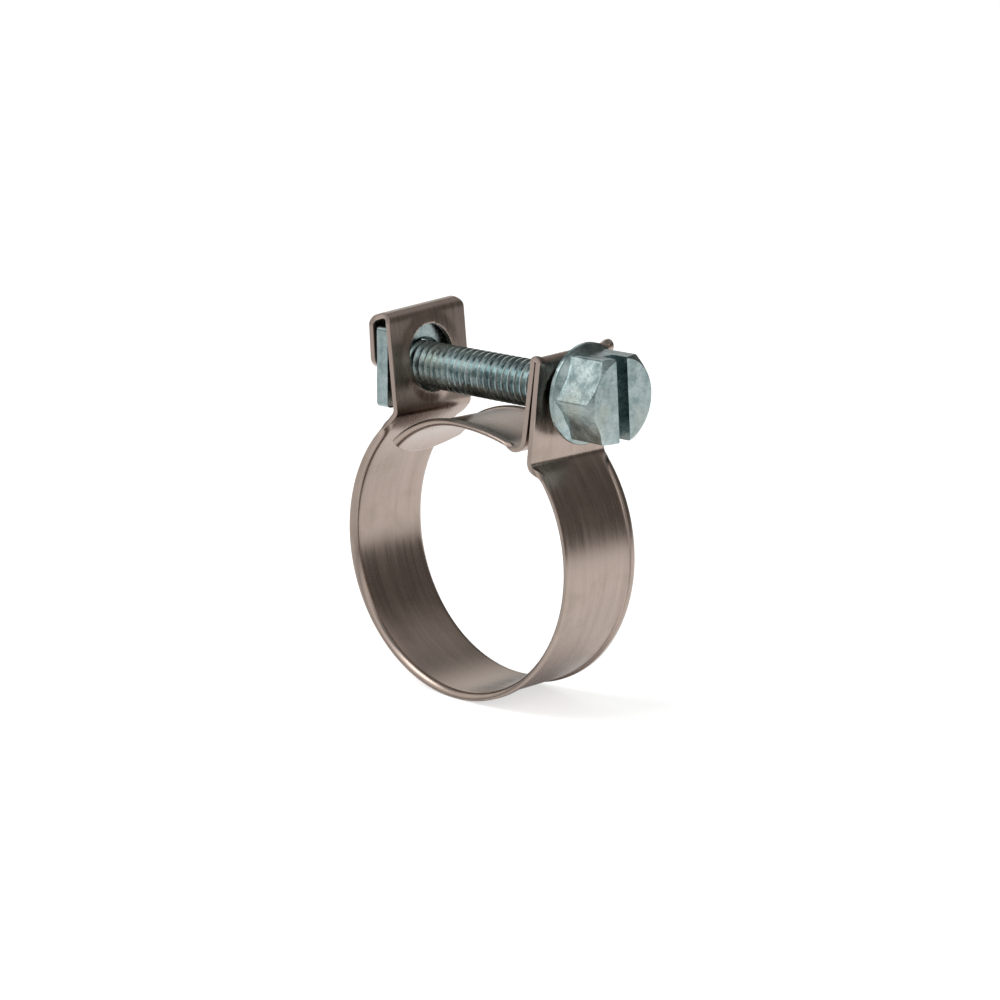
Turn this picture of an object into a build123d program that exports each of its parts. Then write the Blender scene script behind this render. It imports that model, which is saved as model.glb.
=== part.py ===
from build123d import *
from math import atan, cos, degrees, radians, sin, sqrt, tan
import os

# A small hose clamp: one folded steel strip, a plate nut and a flanged screw.
# The hose lies along Y, the screw along X, and the ears stand up along Z.
# The origin is the centre of the ring. Lengths are in millimetres, angles in degrees.

# Strip
strip_t = 0.5                # thickness of the steel
strip_w = 9.0                # flat width, as it shows at the ears
rolled_w = 8.5               # width over the rolled edges of the ring
roll_r = 0.65                # outer radius of a rolled edge
roll_stand = 0.21            # how far a rolled edge stands above the strip

# Ring
bore_r = 12.2                # inside of the ring
seam_angle = -110.9          # where the left half flexes on the right half
seam_gap = 0.02              # play between two stretches of the strip

# Screw and its place
screw_z = bore_r + 2.4       # height of the screw above the hose axis
thread_r = 2.0               # M4
thread_core_r = thread_r - 0.4
pitch = 0.7
screw_length = 20.0
collar_r = 3.3               # collar that bears on the ear
collar_t = 0.8
flange_r = 4.24              # thin flange in front of it
flange_t = 0.35
flange_rise = 0.35           # its front rises as a cone to the hexagon
flange_rise_r = 3.55
head_across_flats = 7.0
head_h = 3.85                # hexagon above the flange
head_turn = 1.0              # how the head happens to stand
head_front_r = 3.46          # flat disc left by the bevel of the head
slot_w = 1.3
slot_depth = 1.6
slot_turn = 5.0
seat_play = 0.05             # from the collar to the ear
thread_foot = 0.62           # width of the thread at its foot and at its crest
thread_crest = 0.12
tail_bevel = 0.3
flange_edge = 0.12           # rounding of the flange's rim
head_bevel = 0.5             # how far the bevel runs down the hexagon
head_edge_r = 0.35           # rounding of the hexagon's six edges
front_edge_r = 0.14          # rounding of its front edge

# Right ear: outer leg, fold, inner leg
right_offset = 7.83          # from the hose axis to the middle of the outer leg
right_lean = 5.7
right_foot_r = 0.8           # bend radii are to the middle of the strip
right_leg = 8.3
fold_r = strip_t / 2 + 0.04
fold_turn = 178.4
inner_leg = 6.56
ear_hole_d = 2 * thread_r + 0.8

# Left ear: front wall, rolled top, back flap
left_offset = 5.405
left_lean = 7.1
left_foot_r = 1.1
left_wall = 7.68
top_r = 0.7
top_turn = 101.7
back_turn = 75.2
flap = 3.85
window_w = 2 * thread_r + 1.2    # opening in the front wall
window_h = 2 * thread_r + 1.8
window_rise = 0.65           # its centre above the screw
notch_w = 2 * thread_r + 1.2     # opening in the back flap
notch_top = thread_r + 0.6
flap_corner_r = 1.0

# Tongue
tongue_bend_r = 1.21
tongue_r = bore_r - 1.55     # underside of the tongue, about the hose axis
tongue_flat_r = 21.0         # flatter stretch between the crown and the bend
tongue_wrap = 50.0           # how far the tongue follows the ring past the crown
tip_r = 7.85                 # rounded end, seen from above
tip_stand = 8.35             # how far the end reaches from the hose axis
tongue_rim = 0.25            # height of its rolled edges
tongue_rim_w = 0.5

# Plate nut
nut_t = 1.3
nut_w = 8.6
nut_h = 7.0
nut_drop = 3.4               # from the screw down to the lower edge
nut_corner_r = 0.4
nut_bore_play = 0.05         # around the crests of the screw
nut_bevel = 0.3
nut_play = 0.02              # from the plate to the ear's front wall
top_run = nut_t + strip_t - 1.1   # flat between the two bends that go around the nut

# Worked out from the above
middle_r = bore_r + strip_t / 2
outer_r = bore_r + strip_t
half_strip = strip_t / 2


def ring_plane(angle):
    """Plane across the strip: x runs outwards from the hose axis, y along it."""
    outwards = (cos(radians(angle)), 0, sin(radians(angle)))
    forwards = (-sin(radians(angle)), 0, cos(radians(angle)))
    return Plane(origin=(0, 0, 0), x_dir=outwards, z_dir=forwards)


def rolled_section(angle):
    """The ring's section at an angle: flat inside, both edges rolled outwards."""
    roll_y = rolled_w / 2 - roll_r
    roll_x = bore_r + roll_r
    crest = outer_r + roll_stand
    with BuildSketch(ring_plane(angle)) as section:
        with BuildLine():
            Line((bore_r, 0), (bore_r, roll_y))
            CenterArc((roll_x, roll_y), roll_r, 180, -90)
            Polyline(
                (roll_x, rolled_w / 2), (crest, rolled_w / 2),
                (crest, rolled_w / 2 - strip_t), (roll_x, rolled_w / 2 - strip_t))
            CenterArc((roll_x, roll_y), roll_r - strip_t, 90, 90)
            Polyline((outer_r, roll_y), (outer_r, 0), (bore_r, 0))
        make_face()
        mirror(about=Plane.XZ)
    return section.sketch


def foot(offset_x, lean, bend_r, side):
    """Where the ring turns up into an ear: angle on the ring and start of the bend."""
    across = offset_x + bend_r
    along = sqrt((middle_r + bend_r) ** 2 - across ** 2)
    from_vertical = degrees(atan(across / along)) + lean
    angle = 90 - side * from_vertical
    start = (middle_r * cos(radians(angle)), middle_r * sin(radians(angle)))
    return angle, start


def folded_strip(start, heading, moves, thickness=strip_t, lift=0.0):
    """Side view of a folded strip, laid down move by move from its middle line:
    (length, 0) is a run and (radius, turn) a bend, to the left if positive.
    The thickness may be lifted off the middle line, to its left."""
    x, z = start
    low = lift - thickness / 2
    high = lift + thickness / 2
    with BuildSketch(Plane.XZ) as profile:
        for size, turn in moves:
            ahead = (cos(radians(heading)), sin(radians(heading)))
            left = (-ahead[1], ahead[0])
            if turn == 0:
                middle = Plane(origin=(x, z, 0), x_dir=(ahead[0], ahead[1], 0))
                with BuildLine(middle):
                    Polyline((0, low), (size, low), (size, high), (0, high), close=True)
                make_face()
                x = x + size * ahead[0]
                z = z + size * ahead[1]
            else:
                side = 1 if turn > 0 else -1
                centre = (x + side * size * left[0], z + side * size * left[1])
                begin = heading - side * 90
                with BuildLine():
                    near = CenterArc(centre, size - side * high, begin, turn)
                    far = CenterArc(centre, size - side * low, begin, turn)
                    Line(near @ 0, far @ 0)
                    Line(near @ 1, far @ 1)
                make_face()
                x = centre[0] + size * cos(radians(begin + turn))
                z = centre[1] + size * sin(radians(begin + turn))
                heading = heading + turn
    return profile.sketch, (x, z)


screw_plane = Plane(origin=(0, 0, screw_z), x_dir=(0, 1, 0), z_dir=(1, 0, 0))

# The collar just meets the top of the leaning right ear, and the plate nut the left one
collar_top = screw_z + collar_r
right_face = (right_offset + half_strip) / cos(radians(right_lean))
seat_x = right_face + collar_top * tan(radians(right_lean)) + seat_play
shoulder = collar_t + flange_t
nut_top = screw_z - nut_drop + nut_h
left_face = (left_offset + half_strip) / cos(radians(left_lean))
nut_front_x = -left_face - nut_top * tan(radians(left_lean)) - nut_play
nut_back_x = nut_front_x - nut_t
seat_plane = screw_plane.offset(seat_x)
flange_plane = screw_plane.offset(seat_x + collar_t)
head_plane = screw_plane.offset(seat_x + shoulder)
front_plane = screw_plane.offset(seat_x + shoulder + head_h)
nut_plane = screw_plane.offset(nut_front_x)

# Right side: half of the ring, and the right ear down to the tongue's bend
right_angle, right_start = foot(right_offset, right_lean, right_foot_r, 1)
right_moves = [
    (right_foot_r, -(right_angle + right_lean)),
    (right_leg, 0),
    (fold_r, fold_turn),
    (inner_leg, 0),
    (tongue_bend_r, -(fold_turn - right_lean - 90)),
]
with BuildPart() as band_right:
    half_ring = right_angle - seam_angle - seam_gap
    revolve(rolled_section(right_angle), axis=Axis.Y, revolution_arc=half_ring)
    right_profile, tongue_start = folded_strip(right_start, right_angle + 90, right_moves)
    extrude(right_profile, amount=strip_w / 2, both=True)
    with BuildSketch(screw_plane):
        Circle(ear_hole_d / 2)
    extrude(amount=bore_r, mode=Mode.SUBTRACT)
band_right.part.label = "band_right"

# Left side: the other half of the ring
left_angle, left_start = foot(left_offset, left_lean, left_foot_r, -1)
with BuildPart() as band_left:
    half_ring = 360 + seam_angle - left_angle - 2 * seam_gap
    revolve(rolled_section(left_angle + seam_gap), axis=Axis.Y, revolution_arc=-half_ring)
band_left.part.label = "band_left"

# Left ear: from the foot up, over the top and down behind the nut
left_moves = [
    (left_foot_r, 180 + left_lean - left_angle),
    (left_wall, 0),
    (top_r, top_turn),
    (top_run, 0),
    (top_r, back_turn),
    (flap, 0),
]
with BuildPart() as left_ear:
    left_profile, flap_end = folded_strip(left_start, left_angle - 90, left_moves)
    extrude(left_profile, amount=strip_w / 2, both=True)
    flap_corners = left_ear.edges().filter_by(
        lambda edge: abs(edge.length - strip_t) < seam_gap and edge.center().Z > left_start[1])
    fillet(flap_corners, flap_corner_r)
    with BuildSketch(nut_plane):
        with Locations((0, window_rise)):
            Ellipse(window_w / 2, window_h / 2)
    extrude(amount=strip_w, mode=Mode.SUBTRACT)
    with BuildSketch(nut_plane):
        with Locations((0, notch_top - notch_w / 2)):
            Circle(notch_w / 2)
        with Locations((0, notch_top - notch_w / 2)):
            Rectangle(notch_w, notch_w, align=(Align.CENTER, Align.MAX))
    extrude(amount=-strip_w, mode=Mode.SUBTRACT)
left_ear.part.label = "left_ear"

# Tongue: rises from the bend, flattens, then follows the ring under the left ear
crown_drop = tongue_r + half_strip - tongue_start[1]
rise_turn = 2 * degrees(atan(crown_drop / tongue_start[0]))
rise_r = tongue_start[0] / sin(radians(rise_turn)) - tongue_flat_r - half_strip
tongue_moves = [
    (rise_r, -rise_turn),
    (tongue_flat_r + half_strip, rise_turn),
    (tongue_r + half_strip, tongue_wrap),
]
tongue_root = (tongue_start[0] - seam_gap, tongue_start[1])
rim_lift = -half_strip - tongue_rim / 2
with BuildPart() as bridge_tongue:
    strip_profile, tongue_tip = folded_strip(tongue_root, 180, tongue_moves)
    extrude(strip_profile, amount=rolled_w / 2, both=True)
    with BuildPart(mode=Mode.PRIVATE) as rims:
        rim_profile, rim_tip = folded_strip(tongue_root, 180, tongue_moves, tongue_rim, rim_lift)
        extrude(rim_profile, amount=rolled_w / 2, both=True)
        extrude(rim_profile, amount=rolled_w / 2 - tongue_rim_w, both=True, mode=Mode.SUBTRACT)
    add(rims)
    with BuildSketch(Plane.XY) as outline:
        with Locations((tip_r - tip_stand, 0)):
            Circle(tip_r)
            Rectangle(2 * bore_r, rolled_w, align=(Align.MIN, Align.CENTER))
    extrude(amount=bore_r, mode=Mode.INTERSECT)
bridge_tongue.part.label = "bridge_tongue"

# Plate nut
with BuildPart() as plate_nut:
    with BuildSketch(nut_plane):
        with Locations((0, nut_h / 2 - nut_drop)):
            RectangleRounded(nut_w, nut_h, nut_corner_r)
        Circle(thread_r + nut_bore_play, mode=Mode.SUBTRACT)
    extrude(amount=-nut_t)
    bore_edges = plate_nut.edges().filter_by(GeomType.CIRCLE).filter_by(
        lambda edge: abs(edge.radius - thread_r - nut_bore_play) < nut_bore_play)
    chamfer(bore_edges, nut_bevel)
plate_nut.part.label = "plate_nut"

# Screw: the threaded shank is made standing up and then laid along the screw's axis.
# The thread starts inside the collar and stops short of the bevelled tail.
thread_start = shoulder / 2
with BuildPart() as shank:
    Cylinder(
        thread_core_r, screw_length + shoulder, align=(Align.CENTER, Align.CENTER, Align.MIN))
    chamfer(shank.edges().group_by(Axis.Z)[-1], tail_bevel)
    with BuildLine() as winding:
        Helix(pitch, screw_length + thread_start - tail_bevel - thread_foot, thread_core_r)
    with BuildSketch(Plane.XZ) as tooth:
        with BuildLine():
            Polyline(
                (thread_core_r - seam_gap, -thread_foot / 2), (thread_r, -thread_crest / 2),
                (thread_r, thread_crest / 2), (thread_core_r - seam_gap, thread_foot / 2),
                close=True)
        make_face()
    with BuildPart(mode=Mode.PRIVATE) as thread:
        sweep(tooth.sketch, path=winding.line, is_frenet=True)
    with Locations((0, 0, shoulder - thread_start)):
        add(thread)
corner_r = head_across_flats / 2 / cos(radians(30))
with BuildPart() as clamp_screw:
    with BuildSketch(seat_plane):
        Circle(collar_r)
    extrude(amount=collar_t)
    with BuildSketch(flange_plane):
        Circle(flange_r)
    extrude(amount=flange_t)
    fillet(clamp_screw.edges().group_by(Axis.X)[-1], flange_edge)
    rise_taper = degrees(atan((flange_r - flange_edge - flange_rise_r) / flange_rise))
    with BuildSketch(head_plane):
        Circle(flange_r - flange_edge)
    extrude(amount=flange_rise, taper=rise_taper)
    with BuildPart(mode=Mode.PRIVATE) as hexagon:
        with BuildSketch(head_plane):
            RegularPolygon(head_across_flats / 2, 6, major_radius=False, rotation=head_turn)
        extrude(amount=head_h)
        fillet(hexagon.edges().filter_by(Axis.X), head_edge_r)
        with BuildPart(mode=Mode.PRIVATE) as bevel:
            with BuildSketch(head_plane):
                Circle(corner_r)
            extrude(amount=head_h)
            front_edge = bevel.edges().group_by(Axis.X)[-1]
            front_face = bevel.faces().sort_by(Axis.X)[-1]
            chamfer(front_edge, corner_r - head_front_r, head_bevel, reference=front_face)
        add(bevel, mode=Mode.INTERSECT)
        fillet(hexagon.edges().group_by(Axis.X)[-1], front_edge_r)
    add(hexagon)
    with BuildSketch(front_plane):
        Rectangle(slot_w, 2 * flange_r, rotation=slot_turn)
    extrude(amount=-slot_depth, mode=Mode.SUBTRACT)
    add(head_plane.location * Rot(180, 0, 0) * shank.part)
clamp_screw.part.label = "clamp_screw"

# Hinge lines of the strip, each on the side that closes, and the sizes others need
print("band_close", bore_r * cos(radians(seam_angle)), bore_r * sin(radians(seam_angle)))
print("ear_lean", outer_r * cos(radians(left_angle)), outer_r * sin(radians(left_angle)))
print("tongue_swing", tongue_start[0], tongue_start[1] - half_strip)
print("head front", front_plane.origin.X, "seat", seat_x, "nut", nut_back_x, nut_front_x)

os.makedirs("parts", exist_ok=True)
for piece in (band_right, band_left, left_ear, bridge_tongue, plate_nut, clamp_screw):
    export_step(piece.part, f"parts/{piece.part.label}.step")
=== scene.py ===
import bpy, bmesh
from math import atan2, cos, degrees, pi, radians, sin, sqrt
from mathutils import Matrix, Vector


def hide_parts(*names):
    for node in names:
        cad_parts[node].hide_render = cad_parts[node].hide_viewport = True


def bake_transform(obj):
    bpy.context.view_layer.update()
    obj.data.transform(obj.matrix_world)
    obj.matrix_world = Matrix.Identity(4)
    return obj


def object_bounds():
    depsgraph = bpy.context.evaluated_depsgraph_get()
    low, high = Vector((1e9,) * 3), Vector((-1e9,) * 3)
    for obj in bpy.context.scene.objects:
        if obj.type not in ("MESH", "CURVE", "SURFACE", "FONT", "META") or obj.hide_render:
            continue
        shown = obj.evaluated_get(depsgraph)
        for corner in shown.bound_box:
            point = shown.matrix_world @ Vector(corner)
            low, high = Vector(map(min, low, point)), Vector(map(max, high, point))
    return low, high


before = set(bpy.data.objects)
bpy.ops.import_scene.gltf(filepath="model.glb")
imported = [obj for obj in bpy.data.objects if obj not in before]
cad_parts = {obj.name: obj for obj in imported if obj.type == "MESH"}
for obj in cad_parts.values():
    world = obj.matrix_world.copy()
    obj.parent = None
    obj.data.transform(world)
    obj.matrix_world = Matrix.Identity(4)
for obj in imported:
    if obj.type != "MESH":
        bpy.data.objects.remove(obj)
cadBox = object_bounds()
mm = 0.001
print("frame loaded", sorted(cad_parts))


def smooth(value, low, high):  # 0 before low, 1 after high
    share = min(max((value - low) / (high - low), 0.0), 1.0)
    return share * share * (3 - 2 * share)


def makeActive(thing):
    bpy.ops.object.select_all(action="DESELECT")
    thing.select_set(True)
    bpy.context.view_layer.objects.active = thing


def selectWhere(thing, test):  # leaves the piece in edit mode with those vertices selected
    makeActive(thing)
    bpy.ops.object.mode_set(mode="EDIT")
    bpy.ops.mesh.select_mode(type="VERT")
    edit = bmesh.from_edit_mesh(thing.data)
    for part in list(edit.faces) + list(edit.edges):
        part.select = False
    for vertex in edit.verts:
        vertex.select = test(vertex.co)
    edit.select_flush(True)
    bmesh.update_edit_mesh(thing.data)


def applyModifier(thing, kind, **values):
    makeActive(thing)
    modifier = thing.modifiers.new(kind.title(), kind)
    for name, value in values.items():
        setattr(modifier, name, value)
    bpy.ops.object.modifier_apply(modifier=modifier.name)


# Lengths of the strip are in millimetres here and become metres where the mesh is laid
strip = {
    "thickness": 0.5,
    "middleRadius": 12.45,
    "flatHalf": 3.58,        # flat part of the half width
    "rollHalf": 0.68,        # the part of it that rolls up on the ring
    "earHalf": 4.5,          # half width at the ears
    "rollRadius": 0.42,
    "flatColumns": 11,
    "rollColumns": 8,
    "edgeBevel": 0.07,
    "seamAngle": 150.0,      # where the ear's mesh takes over from the ring's
    "seamSpare": 7.0,        # degrees laid past the seam and cut off again
    "legSeam": 11.6,         # height of the seam on the inner leg
    "rightFoot": 43.659,
    "leftFoot": 124.630,
}


def stripColumns():
    flat = [strip["flatHalf"] * i / strip["flatColumns"] for i in range(strip["flatColumns"] + 1)]
    roll = [strip["flatHalf"] + strip["rollHalf"] * i / strip["rollColumns"]
            for i in range(1, strip["rollColumns"] + 1)]
    half = flat + roll
    return [-y for y in reversed(half[1:])] + half


def layRow(name, start, columns):  # one row of vertices across the strip
    bpy.ops.object.select_all(action="DESELECT")
    bpy.ops.mesh.primitive_grid_add(x_subdivisions=1, y_subdivisions=len(columns) - 1, size=2)
    sheet = bpy.context.object
    sheet.name = name
    selectWhere(sheet, lambda place: place.x < 0)
    bpy.ops.mesh.delete(type="VERT")
    bpy.ops.object.mode_set(mode="OBJECT")
    for vertex in sheet.data.vertices:
        column = columns[round((vertex.co.y + 1) / 2 * (len(columns) - 1))]
        vertex.co = (start[0] * mm, column * mm, start[1] * mm)
    selectWhere(sheet, lambda place: True)
    return sheet


def layStrip(name, start, heading, moves):  # moves are (length or radius, turn, steps, part)
    columns = stripColumns()
    sheet = layRow(name, start, columns)
    x, z = start
    stations = [(x, z, heading, 0.0, moves[0][3])]
    for size, turn, steps, part in moves:
        ahead = (cos(radians(heading)), sin(radians(heading)))
        if turn == 0:
            for step in range(steps):
                bpy.ops.mesh.extrude_region_move(TRANSFORM_OT_translate={
                    "value": (ahead[0] * size / steps * mm, 0, ahead[1] * size / steps * mm)})
                x, z = x + ahead[0] * size / steps, z + ahead[1] * size / steps
                stations.append((x, z, heading, (step + 1) / steps, part))
        else:
            side = 1 if turn > 0 else -1
            centre = (x - side * size * ahead[1], z + side * size * ahead[0])
            bpy.ops.mesh.spin(
                steps=steps, angle=radians(turn), center=(centre[0] * mm, 0, centre[1] * mm),
                axis=(0, 1, 0))
            begin = heading - side * 90
            for step in range(steps):
                angle = radians(begin + turn * (step + 1) / steps)
                x, z = centre[0] + size * cos(angle), centre[1] + size * sin(angle)
                share = (step + 1) / steps
                stations.append((x, z, heading + turn * (step + 1) / steps, share, part))
            heading = heading + turn
    bpy.ops.object.mode_set(mode="OBJECT")
    return sheet, stations


def shapeSheet(sheet, stations, side, rollAt, halfAt, bumpAt):  # side 1 lifts to the left
    columns = stripColumns()
    for number, vertex in enumerate(sheet.data.vertices):
        x, z, heading, share, part = stations[number // len(columns)]
        across = vertex.co.y / mm
        reach, sign = abs(across), (1 if across >= 0 else -1)
        roll = rollAt(part, share, x, z)
        half = halfAt(part, share, sign) - (
            strip["earHalf"] - strip["flatHalf"] - strip["rollHalf"]) * roll
        lift = 0.0
        if half < strip["earHalf"] - 1e-6 and roll == 0:
            reach = reach * half / (strip["flatHalf"] + strip["rollHalf"])
        elif reach > strip["flatHalf"] + 1e-6:
            run = (reach - strip["flatHalf"]) / strip["rollHalf"] * (half - strip["flatHalf"])
            bend = roll / strip["rollRadius"]
            if bend > 1e-4:
                reach = strip["flatHalf"] + sin(bend * run) / bend
                lift = (1 - cos(bend * run)) / bend
            else:
                reach = strip["flatHalf"] + run
        lift += bumpAt(part, share, sign * reach, z)
        normal = (-sin(radians(heading)) * side, cos(radians(heading)) * side)
        vertex.co = ((x + normal[0] * lift) * mm, sign * reach * mm, (z + normal[1] * lift) * mm)


def tiltEar(sheet, tilt, lift):  # the far side of each ear stands a little higher
    for vertex in sheet.data.vertices:
        vertex.co.z += (tilt * vertex.co.y + lift * mm) * smooth(vertex.co.z / mm, 11.0, 19.0)


def thicken(sheet):
    selectWhere(sheet, lambda place: True)
    bpy.ops.mesh.normals_make_consistent(inside=False)
    bpy.ops.object.mode_set(mode="OBJECT")
    applyModifier(
        sheet, "SOLIDIFY", thickness=strip["thickness"] * mm, offset=0, use_even_offset=True)


def cutRound(sheet, centre, radii, depth):  # an upright ellipse cut along the screw
    bpy.ops.object.select_all(action="DESELECT")
    bpy.ops.mesh.primitive_cylinder_add(
        vertices=96, radius=1, depth=1, location=(centre[0] * mm, 0, centre[1] * mm),
        rotation=(0, radians(90), 0))
    cutter = bpy.context.object
    cutter.scale = (radii[1] * mm, radii[0] * mm, depth * mm)
    bpy.ops.object.transform_apply(location=True, rotation=True, scale=True)
    applyModifier(sheet, "BOOLEAN", operation="DIFFERENCE", solver="EXACT", object=cutter)
    bpy.data.objects.remove(cutter)


def cutBlock(sheet, low, high):
    bpy.ops.object.select_all(action="DESELECT")
    middle = [(a + b) / 2 * mm for a, b in zip(low, high)]
    bpy.ops.mesh.primitive_cube_add(size=1, location=middle)
    cutter = bpy.context.object
    cutter.scale = [(b - a) * mm for a, b in zip(low, high)]
    bpy.ops.object.transform_apply(location=True, rotation=True, scale=True)
    applyModifier(sheet, "BOOLEAN", operation="DIFFERENCE", solver="EXACT", object=cutter)
    bpy.data.objects.remove(cutter)


def cutSeam(sheet, near, place, direction):  # flat cut across the strip, spare end removed
    selectWhere(sheet, near)
    bpy.ops.mesh.bisect(
        plane_co=place, plane_no=direction, use_fill=True, clear_outer=True, clear_inner=False)
    bpy.ops.object.mode_set(mode="OBJECT")


def roundEdges(sheet):
    applyModifier(
        sheet, "BEVEL", width=strip["edgeBevel"] * mm, segments=2, limit_method="ANGLE",
        angle_limit=radians(50), use_clamp_overlap=False)
    for vertex in sheet.data.vertices:  # tight corners of the fold stay within the strip's width
        vertex.co.y = min(max(vertex.co.y, -strip["earHalf"] * mm), strip["earHalf"] * mm)


def finishMesh(sheet):
    makeActive(sheet)
    bpy.ops.object.shade_smooth_by_angle(angle=radians(32))


def ringPoint(angle):
    return (strip["middleRadius"] * cos(radians(angle)),
            strip["middleRadius"] * sin(radians(angle)))


# Ring, right ear and the inner leg down to its seam
rightEar = {
    "footRadius": 0.8, "footTurn": -49.359, "leg": 8.3,
    "foldRadius": 0.29, "foldTurn": 178.4, "innerLeg": 6.56,
    "holeRadius": 2.4, "holeHeight": 14.6,
    "tilt": 0.045,
    "rollFade": 7.5,         # degrees over which the rolled edges flatten out
    "nub": 0.16,             # small ears left at the corners of the fold
}


def rightRoll(part, share, x, z):
    if part != "ring":
        return 0.0
    angle = degrees(atan2(z, x)) % 360
    before = (strip["rightFoot"] - angle) % 360
    return smooth(before, 0.0, rightEar["rollFade"])


def rightHalf(part, share, sign):
    return strip["earHalf"]


def rightBump(part, share, across, z):
    if part != "fold":
        return 0.0
    corner = smooth(abs(across), 3.7, 4.3)
    return rightEar["nub"] * (corner * 1.2 - 0.2) * sin(pi * share)


ringTurn = 360 + strip["rightFoot"] - strip["seamAngle"] + strip["seamSpare"]
ringStart = strip["seamAngle"] - strip["seamSpare"]
bandStrip, bandStations = layStrip("bandStrip", ringPoint(ringStart), ringStart + 90, [
    (strip["middleRadius"], ringTurn, 230, "ring"),
    (rightEar["footRadius"], rightEar["footTurn"], 10, "foot"),
    (rightEar["leg"], 0, 14, "leg"),
    (rightEar["foldRadius"], rightEar["foldTurn"], 16, "fold"),
    (rightEar["innerLeg"], 0, 12, "inner"),
])
shapeSheet(bandStrip, bandStations, -1, rightRoll, rightHalf, rightBump)
tiltEar(bandStrip, rightEar["tilt"], 0.0)
thicken(bandStrip)
cutRound(
    bandStrip, (8.6, rightEar["holeHeight"]),
    (rightEar["holeRadius"], rightEar["holeRadius"]), 7.0)
roundEdges(bandStrip)
seamDirection = Vector((sin(radians(strip["seamAngle"])), 0, -cos(radians(strip["seamAngle"]))))
seamPlace = Vector(ringPoint(strip["seamAngle"]))
cutSeam(
    bandStrip,
    lambda place: place.x < -8 * mm and place.z > 2.5 * mm,
    (seamPlace.x * mm, 0, seamPlace.y * mm), seamDirection)
innerEnd = bandStations[-1]
innerHeading = Vector((cos(radians(innerEnd[2])), 0, sin(radians(innerEnd[2]))))
innerSeam = Vector((innerEnd[0], 0, innerEnd[1])) - innerHeading * (
    (innerEnd[1] - strip["legSeam"]) / innerHeading.z)
innerAcross = Vector((-innerHeading.z, 0, innerHeading.x))


def nearLeg(place, reach):  # on the inner leg, within a reach of its seam
    offset = place / mm - innerSeam
    return abs(offset.dot(innerAcross)) < 0.29 and abs(offset.dot(innerHeading)) < reach


cutSeam(
    bandStrip,
    lambda place: nearLeg(place, 1.4),
    innerSeam * mm, innerHeading)
finishMesh(bandStrip)
print("ring and right ear", len(bandStrip.data.polygons), "faces")

# Left ear: foot, front wall with its dished opening, rolled top, back flap
leftEar = {
    "leaveAngle": 137.0, "footRadius": 0.75, "wallHeading": 97.1,
    "wallTop": (-7.782, 18.748), "topRadius": 0.7,
    "topTurn": 101.7, "topRun": 0.70, "backTurn": 75.2, "flap": 3.85,
    "farCorner": 0.35,   # how much of the corner's narrowing the far edge has
    "windowHeight": 15.25, "windowRadii": (2.6, 2.9),
    "notchHeight": 14.6, "notchRadius": 2.6,
    "tilt": 0.07, "lift": 0.1,
    "rollFade": 14.0,
    "dish": -0.16,           # how far the wall is pressed out around the opening
    "dishWidth": 0.9,
    "cornerRadius": 1.0,
    "topCorner": 0.5,
}


def leftRoll(part, share, x, z):
    if part != "ring":
        return 0.0
    angle = degrees(atan2(z, x)) % 360
    return smooth(angle - strip["leftFoot"], 1.0, 1.0 + leftEar["rollFade"])


def leftHalf(part, share, sign):
    half = strip["earHalf"]
    far = 1.0 if sign > 0 else leftEar["farCorner"]
    if part == "top":
        return half - leftEar["topCorner"] * far * smooth(share, 0.0, 0.9)
    if part == "crest":
        return half - leftEar["topCorner"] * far
    if part == "back":
        return half - leftEar["topCorner"] * far * (1 - smooth(share, 0.0, 1.0))
    if part == "flap":
        ending = max(1 - (1 - share) * leftEar["flap"] / leftEar["cornerRadius"], 0.0)
        return half - leftEar["cornerRadius"] * (1 - sqrt(max(1 - ending * ending, 0.0)))
    return half


def leftBump(part, share, across, z):
    if part != "wall":
        return 0.0
    reach = sqrt((across / leftEar["windowRadii"][0]) ** 2
                 + ((z - leftEar["windowHeight"]) / leftEar["windowRadii"][1]) ** 2)
    away = max(reach - 1, 0) * leftEar["windowRadii"][0]
    return leftEar["dish"] * (1 - smooth(away, 0.0, leftEar["dishWidth"]))


earStart = strip["seamAngle"] + strip["seamSpare"]
leaveAt = Vector(ringPoint(leftEar["leaveAngle"]))
leaveHeading = leftEar["leaveAngle"] - 90
footTurn = leftEar["wallHeading"] - leaveHeading
wallAhead = Vector((cos(radians(leftEar["wallHeading"])), sin(radians(leftEar["wallHeading"]))))
leaveAhead = Vector((cos(radians(leaveHeading)), sin(radians(leaveHeading))))
toWall = Vector((leftEar["wallTop"][0], leftEar["wallTop"][1])) - leaveAt
crossing = leaveAhead.x * wallAhead.y - leaveAhead.y * wallAhead.x
straight = (toWall.x * wallAhead.y - toWall.y * wallAhead.x) / crossing
wallLength = (leaveAhead * straight - toWall).length
setBack = leftEar["footRadius"] * sin(radians(footTurn / 2)) / cos(radians(footTurn / 2))
leftStrip, leftStations = layStrip("leftStrip", ringPoint(earStart), earStart - 90, [
    (strip["middleRadius"], leftEar["leaveAngle"] - earStart, 24, "ring"),
    (straight - setBack, 0, 12, "ring"),
    (leftEar["footRadius"], footTurn, 12, "foot"),
    (wallLength - setBack, 0, 34, "wall"),
    (leftEar["topRadius"], leftEar["topTurn"], 16, "top"),
    (leftEar["topRun"], 0, 2, "crest"),
    (leftEar["topRadius"], leftEar["backTurn"], 12, "back"),
    (leftEar["flap"], 0, 28, "flap"),
])
shapeSheet(leftStrip, leftStations, 1, leftRoll, leftHalf, leftBump)
tiltEar(leftStrip, leftEar["tilt"], leftEar["lift"])
thicken(leftStrip)
cutRound(leftStrip, (-7.0, leftEar["windowHeight"]), leftEar["windowRadii"], 2.8)
cutRound(
    leftStrip, (-10.2, leftEar["notchHeight"]),
    (leftEar["notchRadius"], leftEar["notchRadius"]), 2.6)
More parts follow.
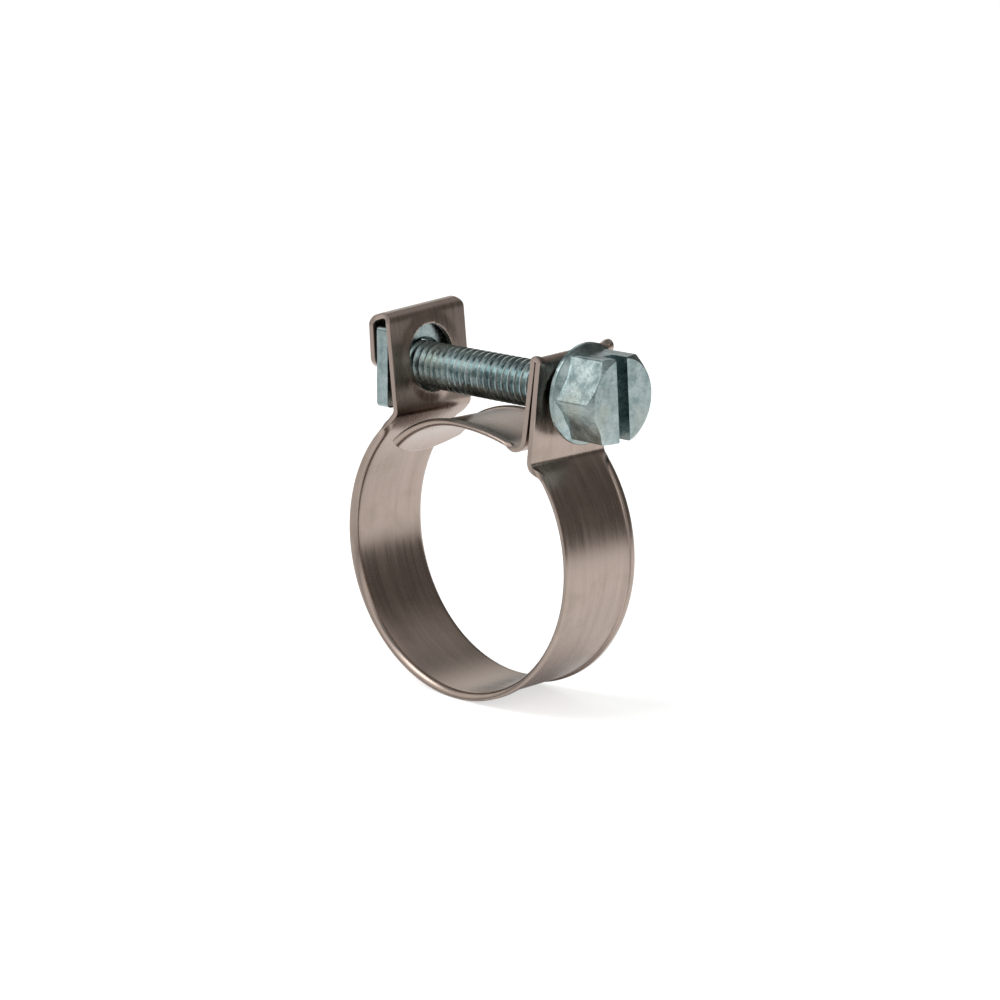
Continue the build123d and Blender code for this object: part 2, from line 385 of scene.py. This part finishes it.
cutBlock(
    leftStrip, (-11.4, -leftEar["notchRadius"], 12.0),
    (-8.9, leftEar["notchRadius"], leftEar["notchHeight"]))
roundEdges(leftStrip)
cutSeam(
    leftStrip, lambda place: place.z < 7.6 * mm,
    (seamPlace.x * mm, 0, seamPlace.y * mm), -seamDirection)
finishMesh(leftStrip)
print("left ear", len(leftStrip.data.polygons), "faces")

# Tongue: from the seam on the inner leg around the bend and under the left ear
tongue = {
    "bendRadius": 1.21, "bendTurn": -82.7, "flatRadius": 21.25, "crownRadius": 10.9,
    "crownTurn": 50.0, "tipRadius": 7.85, "tipStand": 8.35, "roll": 0.62,
    "bendEnd": (7.0043, 9.9902),   # across and up, where the bend gives way to the rise
}
legRun = 1.0 + (strip["legSeam"] - innerEnd[1]) / -innerHeading.z
legStart = Vector((innerEnd[0], 0, innerEnd[1])) - innerHeading * legRun


def tongueRoll(part, share, x, z):
    if part == "rise":
        return tongue["roll"] * smooth(share, 0.0, 0.9)
    if part in ("flat", "crown"):
        return tongue["roll"]
    return 0.0


def tongueHalf(part, share, sign):
    return strip["earHalf"]


def noBump(part, share, across, z):
    return 0.0


bendAcross, bendUp = tongue["bendEnd"]
crownDrop = tongue["crownRadius"] - bendUp
riseTurn = 2 * degrees(atan2(crownDrop, bendAcross))
riseRadius = bendAcross / sin(radians(riseTurn)) - tongue["flatRadius"]
tongueStrip, tongueStations = layStrip("tongueStrip", (legStart.x, legStart.z), innerEnd[2], [
    (legRun, 0, 4, "inner"),
    (tongue["bendRadius"], tongue["bendTurn"], 16, "bend"),
    (riseRadius, -riseTurn, 12, "rise"),
    (tongue["flatRadius"], riseTurn, 24, "flat"),
    (tongue["crownRadius"], tongue["crownTurn"], 40, "crown"),
])
shapeSheet(tongueStrip, tongueStations, -1, tongueRoll, tongueHalf, noBump)
crownEnd = degrees(atan2(tongueStations[-1][1], tongueStations[-1][0]))
for vertex in tongueStrip.data.vertices:  # the crown's rows are drawn back to a rounded tip
    angle = degrees(atan2(vertex.co.z, vertex.co.x))
    if vertex.co.x < 0 and angle > 90:
        across = vertex.co.y / mm
        edge = tongue["tipRadius"] - tongue["tipStand"] - sqrt(
            tongue["tipRadius"] ** 2 - across ** 2)
        distance = sqrt(vertex.co.x ** 2 + vertex.co.z ** 2)
        endAngle = degrees(atan2(sqrt(max(tongue["crownRadius"] ** 2 - edge ** 2, 0)), edge))
        drawn = 90 + (angle - 90) * (endAngle - 90) / (crownEnd - 90)
        vertex.co.x = distance * cos(radians(drawn))
        vertex.co.z = distance * sin(radians(drawn))
thicken(tongueStrip)
roundEdges(tongueStrip)
cutSeam(
    tongueStrip, lambda place: nearLeg(place, 1.4),
    innerSeam * mm, -innerHeading)
finishMesh(tongueStrip)
print("tongue", len(tongueStrip.data.polygons), "faces")


# Materials
def newMaterial(name):
    material = bpy.data.materials.new(name)
    material.use_nodes = True
    nodes = material.node_tree.nodes
    nodes.clear()
    output = nodes.new("ShaderNodeOutputMaterial")
    shader = nodes.new("ShaderNodeBsdfPrincipled")
    material.node_tree.links.new(shader.outputs["BSDF"], output.inputs["Surface"])
    return material, shader


def addNode(material, kind, inputs=None, **values):
    node = material.node_tree.nodes.new(kind)
    for name, value in values.items():
        setattr(node, name, value)
    for name, value in (inputs or {}).items():
        if isinstance(value, bpy.types.NodeSocket):
            material.node_tree.links.new(value, node.inputs[name])
        else:
            node.inputs[name].default_value = value
    return node


def patternAt(material, stretch, scale, detail=3.0, roughness=0.55):
    place = addNode(material, "ShaderNodeTexCoord")
    mapping = addNode(material, "ShaderNodeMapping", {
        "Vector": place.outputs["Object"], "Scale": stretch})
    return addNode(material, "ShaderNodeTexNoise", {
        "Vector": mapping.outputs["Vector"], "Scale": scale, "Detail": detail,
        "Roughness": roughness}).outputs["Fac"]


def spread(material, value, low, high, start=0.3, end=0.7):
    return addNode(material, "ShaderNodeMapRange", {
        "Value": value, "From Min": start, "From Max": end, "To Min": low, "To Max": high,
    }).outputs["Result"]


def blendColours(material, share, first, second):
    mix = addNode(material, "ShaderNodeMix", data_type="RGBA")
    material.node_tree.links.new(share, mix.inputs["Factor"])
    for name, value in (("A", first), ("B", second)):
        socket = [s for s in mix.inputs if s.name == name and s.type == "RGBA"][0]
        if isinstance(value, bpy.types.NodeSocket):
            material.node_tree.links.new(value, socket)
        else:
            socket.default_value = (*value, 1)
    return [s for s in mix.outputs if s.type == "RGBA"][0]


steelLook = {
    "light": (0.45, 0.36, 0.315), "dark": (0.37, 0.295, 0.255), "stain": (0.28, 0.225, 0.18),
    "streaks": (90, 2000, 90), "clouds": (380, 380, 380),
    "roughLow": 0.22, "roughHigh": 0.33, "streakDepth": 0.012,
}


def makeSteel():
    steel, shader = newMaterial("softlyBrushedSteel")
    link = steel.node_tree.links.new
    streaks = patternAt(steel, steelLook["streaks"], 1.0, 4.0, 0.6)
    clouds = patternAt(steel, steelLook["clouds"], 1.0, 3.0, 0.55)
    brushed = blendColours(
        steel, spread(steel, streaks, 0, 1), steelLook["dark"], steelLook["light"])
    stained = blendColours(
        steel, spread(steel, clouds, 0, 0.45, 0.52, 0.75), brushed, steelLook["stain"])
    link(stained, shader.inputs["Base Color"])
    shader.inputs["Metallic"].default_value = 1.0
    link(spread(steel, streaks, steelLook["roughLow"], steelLook["roughHigh"]),
         shader.inputs["Roughness"])
    bump = addNode(steel, "ShaderNodeBump", {
        "Strength": 0.2, "Distance": steelLook["streakDepth"] * mm, "Height": streaks})
    link(bump.outputs["Normal"], shader.inputs["Normal"])
    return steel


zincLook = {
    "light": (0.44, 0.52, 0.525), "dark": (0.20, 0.27, 0.28), "warm": (0.42, 0.43, 0.36),
    "roughLow": 0.14, "roughHigh": 0.32, "grainDepth": 0.05,
}


def makeZinc():
    zinc, shader = newMaterial("zincPlating")
    link = zinc.node_tree.links.new
    mottles = patternAt(zinc, (900, 900, 900), 1.0, 4.0, 0.65)
    grain = patternAt(zinc, (3600, 3600, 3600), 1.0, 3.0, 0.6)
    tint = blendColours(
        zinc, spread(zinc, mottles, 0, 1, 0.35, 0.65), zincLook["dark"], zincLook["light"])
    patches = patternAt(zinc, (260, 260, 260), 1.0, 2.0, 0.5)
    warmed = blendColours(zinc, spread(zinc, patches, 0, 0.5, 0.5, 0.75), tint, zincLook["warm"])
    link(warmed, shader.inputs["Base Color"])
    shader.inputs["Metallic"].default_value = 1.0
    link(spread(zinc, mottles, zincLook["roughLow"], zincLook["roughHigh"]),
         shader.inputs["Roughness"])
    bump = addNode(zinc, "ShaderNodeBump", {
        "Strength": 0.35, "Distance": zincLook["grainDepth"] * mm, "Height": grain})
    link(bump.outputs["Normal"], shader.inputs["Normal"])
    return zinc


def dress(thing, material):
    thing.data.materials.clear()
    thing.data.materials.append(material)


steel = makeSteel()
zinc = makeZinc()
for piece in (bandStrip, leftStrip, tongueStrip):
    dress(piece, steel)
for name in ("clamp_screw", "plate_nut"):
    dress(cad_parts[name], zinc)
print("materials")

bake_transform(bandStrip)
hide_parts("band_right", "band_left")
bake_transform(leftStrip)
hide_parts("left_ear")
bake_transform(tongueStrip)
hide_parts("bridge_tongue")

# Floor, light and camera
studio = {
    "floorSize": 6.0, "floorHeight": cadBox[0][2], "floorGlow": 0.62,
    "paintedContactShadow": 0.15, "paintedNearShade": 0.35, "paintedFarShade": 0.2,   # painted shade: how pale the floor is in reflections, darkened under the clamp, on the near side and far away
    "contactReach": (6, 15), "nearReach": (-28, -6), "farReach": (130, 280),   # in mm
    "overhead": (0.85, 0.85, 0.86),
    "sideLow": (0.30, 0.32, 0.33), "sideBright": (1.0, 1.0, 0.97), "sideHigh": (0.24, 0.27, 0.28),
    "middle": (0.34, 0.33, 0.32), "band": (0.135, 0.13, 0.12),
    "bandTop": 40.0, "middleTop": 66.0,   # degrees above the horizon
    "bandTowards": 70.0,     # direction of the dark card, degrees from the screw's axis
    "bandEdge": (0.62, 0.35),   # cosines at which the card fades out sideways
    "sideSteps": (8, 17, 36, 50),   # degrees above the horizon, around the card
}
bpy.ops.object.select_all(action="DESELECT")
bpy.ops.mesh.primitive_plane_add(size=studio["floorSize"], location=(0, 0, studio["floorHeight"]))
floor = bpy.context.object
floor.name = "paleFloor"
paper, paperShader = newMaterial("palePaper")
paperShader.inputs["Base Color"].default_value = (0.85, 0.85, 0.85, 1)
paperShader.inputs["Roughness"].default_value = 0.9
# Painted shade: in reflections the floor's glow is darkened under the clamp (a painted shadow),
# and on the camera side and far away (painted darker reflections)
fromMiddle = addNode(paper, "ShaderNodeVectorMath", {
    0: addNode(paper, "ShaderNodeTexCoord").outputs["Object"]}, operation="LENGTH")
nearShade = spread(
    paper, fromMiddle.outputs["Value"], studio["paintedContactShadow"], 1.0,
    studio["contactReach"][0] * mm, studio["contactReach"][1] * mm)
splitFloor = addNode(paper, "ShaderNodeSeparateXYZ", {
    "Vector": addNode(paper, "ShaderNodeTexCoord").outputs["Object"]})
sideShade = spread(
    paper, splitFloor.outputs["Y"], studio["paintedNearShade"], 1.0,
    studio["nearReach"][0] * mm, studio["nearReach"][1] * mm)
farShade = spread(
    paper, fromMiddle.outputs["Value"], 1.0, studio["paintedFarShade"],
    studio["farReach"][0] * mm, studio["farReach"][1] * mm)
twoShades = addNode(paper, "ShaderNodeMath", {0: nearShade, 1: sideShade}, operation="MINIMUM")
bothShades = addNode(paper, "ShaderNodeMath", {
    0: twoShades.outputs["Value"], 1: farShade}, operation="MINIMUM")
# Seen straight by the camera the floor stays evenly white; only reflections get the painted shade
shadeSeen = addNode(paper, "ShaderNodeMath", {
    0: bothShades.outputs["Value"],
    1: addNode(paper, "ShaderNodeLightPath").outputs["Is Camera Ray"]}, operation="MAXIMUM")
paperPale = blendColours(paper, shadeSeen.outputs["Value"], (0.0, 0.0, 0.0), (1.0, 1.0, 1.0))
paper.node_tree.links.new(paperPale, paperShader.inputs["Emission Color"])
paperShader.inputs["Emission Strength"].default_value = studio["floorGlow"]
dress(floor, paper)

world = bpy.data.worlds.new("softStudio")
bpy.context.scene.world = world
world.use_nodes = True
worldNodes = world.node_tree.nodes
worldLink = world.node_tree.links.new
worldNodes.clear()
worldOutput = worldNodes.new("ShaderNodeOutputWorld")
background = worldNodes.new("ShaderNodeBackground")
direction = worldNodes.new("ShaderNodeTexCoord")
splitUp = worldNodes.new("ShaderNodeSeparateXYZ")
worldLink(direction.outputs["Generated"], splitUp.inputs["Vector"])


def colourByHeight(steps):  # steps are (degrees above the horizon, colour)
    ramp = worldNodes.new("ShaderNodeValToRGB")
    ramp.color_ramp.interpolation = "EASE"
    while len(ramp.color_ramp.elements) < len(steps):
        ramp.color_ramp.elements.new(0.5)
    for element, (height, colour) in zip(ramp.color_ramp.elements, steps):
        element.position = sin(radians(height))
        element.color = (*colour, 1)
    worldLink(splitUp.outputs["Z"], ramp.inputs["Fac"])
    return ramp.outputs["Color"]


def mixSky(share, first, second):
    mix = worldNodes.new("ShaderNodeMix")
    mix.data_type = "RGBA"
    worldLink(share, mix.inputs["Factor"])
    sockets = [s for s in mix.inputs if s.type == "RGBA"]
    for socket, value in zip(sockets, (first, second)):
        if isinstance(value, bpy.types.NodeSocket):
            worldLink(value, socket)
        else:
            socket.default_value = (*value, 1)
    return [s for s in mix.outputs if s.type == "RGBA"][0]


ahead = colourByHeight([
    (0, studio["band"]), (studio["bandTop"] - 4, studio["band"]),
    (studio["bandTop"] + 6, studio["middle"]), (studio["middleTop"], studio["overhead"])])
lowTo, brightFrom, brightTo, highFrom = studio["sideSteps"]
around = colourByHeight([
    (0, studio["sideLow"]), (lowTo, studio["sideLow"]), (brightFrom, studio["sideBright"]),
    (brightTo, studio["sideBright"]), (highFrom, studio["sideHigh"])])
facing = worldNodes.new("ShaderNodeVectorMath")
facing.operation = "DOT_PRODUCT"
facing.inputs[1].default_value = (
    cos(radians(studio["bandTowards"])), sin(radians(studio["bandTowards"])), 0)
worldLink(direction.outputs["Generated"], facing.inputs[0])
aside = worldNodes.new("ShaderNodeMapRange")
aside.interpolation_type = "SMOOTHSTEP"
aside.inputs["From Min"].default_value = studio["bandEdge"][0]
aside.inputs["From Max"].default_value = studio["bandEdge"][1]
worldLink(facing.outputs["Value"], aside.inputs["Value"])
lit = mixSky(aside.outputs["Result"], ahead, around)
seen = worldNodes.new("ShaderNodeLightPath")
worldLink(
    mixSky(seen.outputs["Is Camera Ray"], lit, studio["overhead"]), background.inputs["Color"])
worldLink(background.outputs["Background"], worldOutput.inputs["Surface"])

lamp = {"size": 0.20, "power": 0.45, "place": (-0.10, -0.20, 0.30)}
lightData = bpy.data.lights.new("softBox", "AREA")
lightData.size = lamp["size"]
lightData.energy = lamp["power"]
softBox = bpy.data.objects.new("softBox", lightData)
bpy.context.scene.collection.objects.link(softBox)
softBox.location = lamp["place"]
softBox.rotation_euler = (-Vector(lamp["place"])).to_track_quat("-Z", "Y").to_euler()

view = {"turn": 43.683, "rise": 13.258, "roll": 0.5, "distance": 0.238559,
        "lens": 100.43, "across": -0.964, "up": -3.710}
turn, rise, roll = radians(view["turn"]), radians(view["rise"]), radians(view["roll"])
back = Vector((sin(turn) * cos(rise), -cos(turn) * cos(rise), sin(rise)))
level = Vector((cos(turn), sin(turn), 0))
upright = back.cross(level)
right = level * cos(roll) + upright * sin(roll)
up = upright * cos(roll) - level * sin(roll)
cameraData = bpy.data.cameras.new("studioCamera")
cameraData.lens = view["lens"]
cameraData.sensor_width = 36
cameraData.clip_start = 0.01
camera = bpy.data.objects.new("studioCamera", cameraData)
bpy.context.scene.collection.objects.link(camera)
place = back * view["distance"] - right * view["across"] * mm - up * view["up"] * mm
camera.matrix_world = Matrix((
    (right.x, up.x, back.x, place.x), (right.y, up.y, back.y, place.y),
    (right.z, up.z, back.z, place.z), (0, 0, 0, 1)))
bpy.context.scene.camera = camera
bpy.context.scene.view_settings.view_transform = "Standard"
print("studio and camera")
